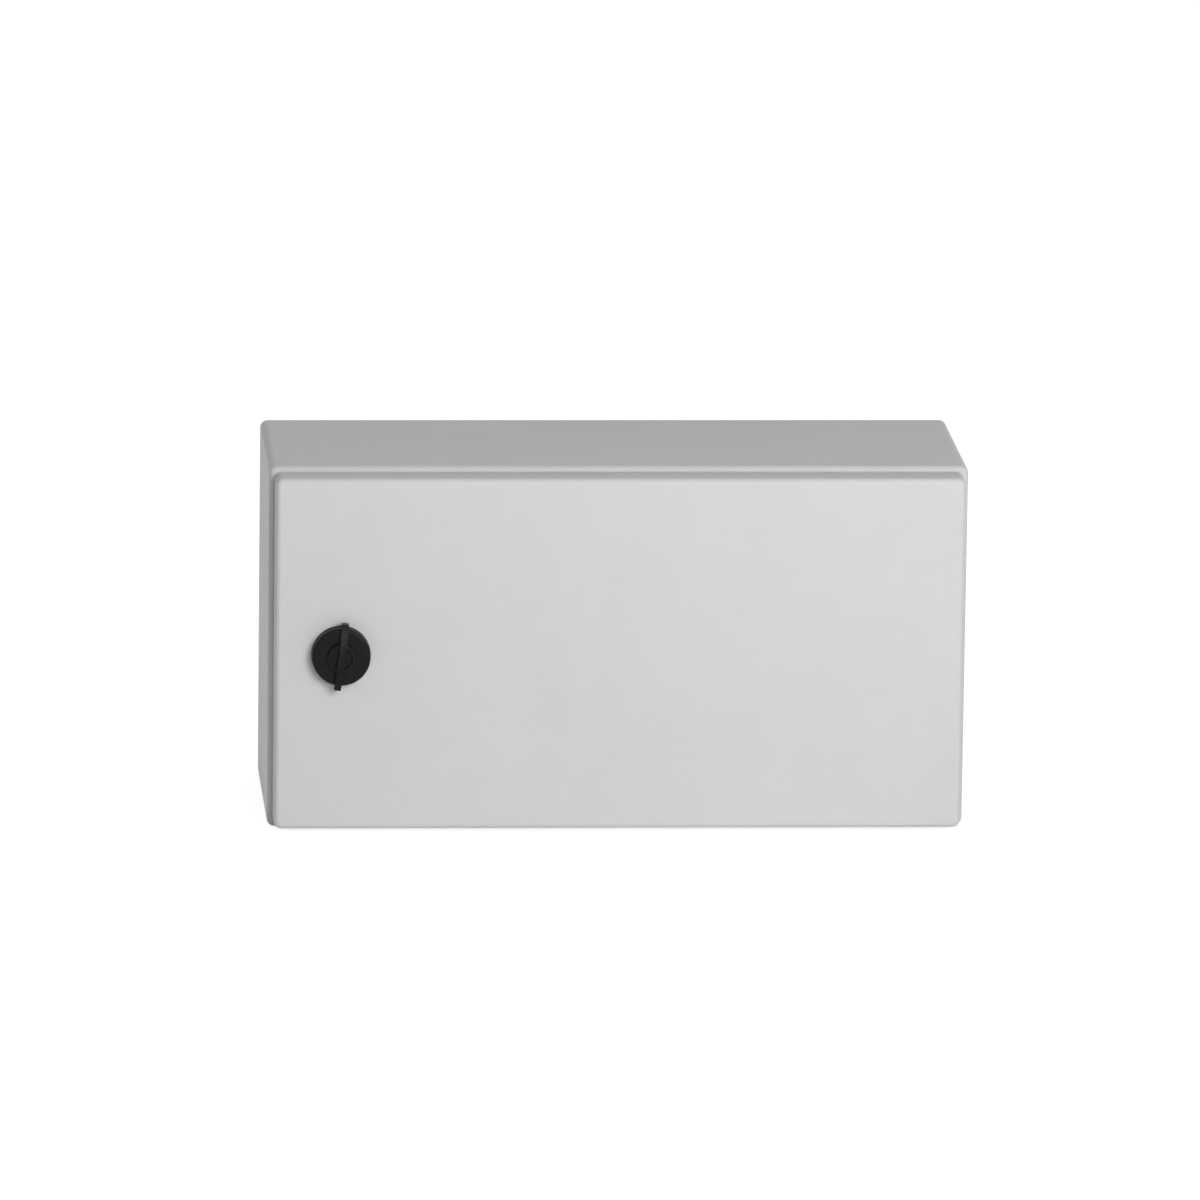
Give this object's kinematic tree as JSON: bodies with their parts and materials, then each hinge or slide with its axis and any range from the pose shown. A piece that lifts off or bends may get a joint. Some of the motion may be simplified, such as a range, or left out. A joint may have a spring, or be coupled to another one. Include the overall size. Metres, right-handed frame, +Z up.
{
  "type": "steel wall enclosure",
  "caption": "Small light-grey steel wall box: folded cabinet with rain lip, hinged overlapping door with foamed seal, black quarter-turn wing lock, mounting plate and gland plate.",
  "frame": {"origin": "centre of the cabinet's back face, on the wall, in the middle of the four wall holes", "axes": "+X to the right and +Z up as seen from the front; the front faces -Y and +Y points into the wall"},
  "size_m": [0.38, 0.1675, 0.2],
  "materials": {
    "paint": "fine textured powder coat, light grey",
    "zinc_plate": "zinc-plated sheet",
    "zinc_fastener": "zinc-plated fastener",
    "copper_stud": "copper-plated weld stud",
    "foam": "foamed-in-place polyurethane",
    "black_plastic": "black moulded polyamide",
    "die_cast": "zinc die-casting"
  },
  "bodies": {
    "cabinet": {"body_shell": "paint", "base_panel": "paint", "front_frame": "paint", "plate_studs": "copper_stud", "mounting_plate": "zinc_plate", "plate_washers": "zinc_fastener", "plate_nuts": "zinc_fastener", "gland_studs": "copper_stud", "gland_seal": "foam", "gland_plate": "paint", "gland_nuts": "zinc_fastener", "back_earth_stud": "copper_stud", "back_earth_washer": "zinc_fastener", "back_earth_nut": "zinc_fastener", "hinge_bracket_upper": "zinc_fastener", "hinge_bracket_lower": "zinc_fastener"},
    "door": {"door_panel": "paint", "door_seal": "foam", "hinge_leaf_upper": "zinc_fastener", "hinge_leaf_lower": "zinc_fastener", "hinge_pin_upper": "zinc_fastener", "hinge_pin_lower": "zinc_fastener", "door_earth_stud": "copper_stud", "door_earth_washer": "zinc_fastener", "door_earth_nut": "zinc_fastener", "lock_housing": "black_plastic", "lock_seal": "foam", "lock_nut": "zinc_fastener"},
    "lock": {"wing_knob": "black_plastic", "lock_spindle": "die_cast", "lock_cam": "zinc_fastener", "cam_washer": "zinc_fastener", "cam_screw": "zinc_fastener"}
  },
  "joints": [
    {"name": "door_hinge", "type": "hinge", "parent": "cabinet", "child": "door", "pos_m": [0.1835, -0.146, 0], "axis": [0, 0, 1], "range_deg": [0, 130]},
    {"name": "lock_turn", "type": "hinge", "parent": "door", "child": "lock", "pos_m": [-0.1513, -0.155, 0], "axis": [0, 1, 0], "range_deg": [-6.7, 83.3]}
  ]
}
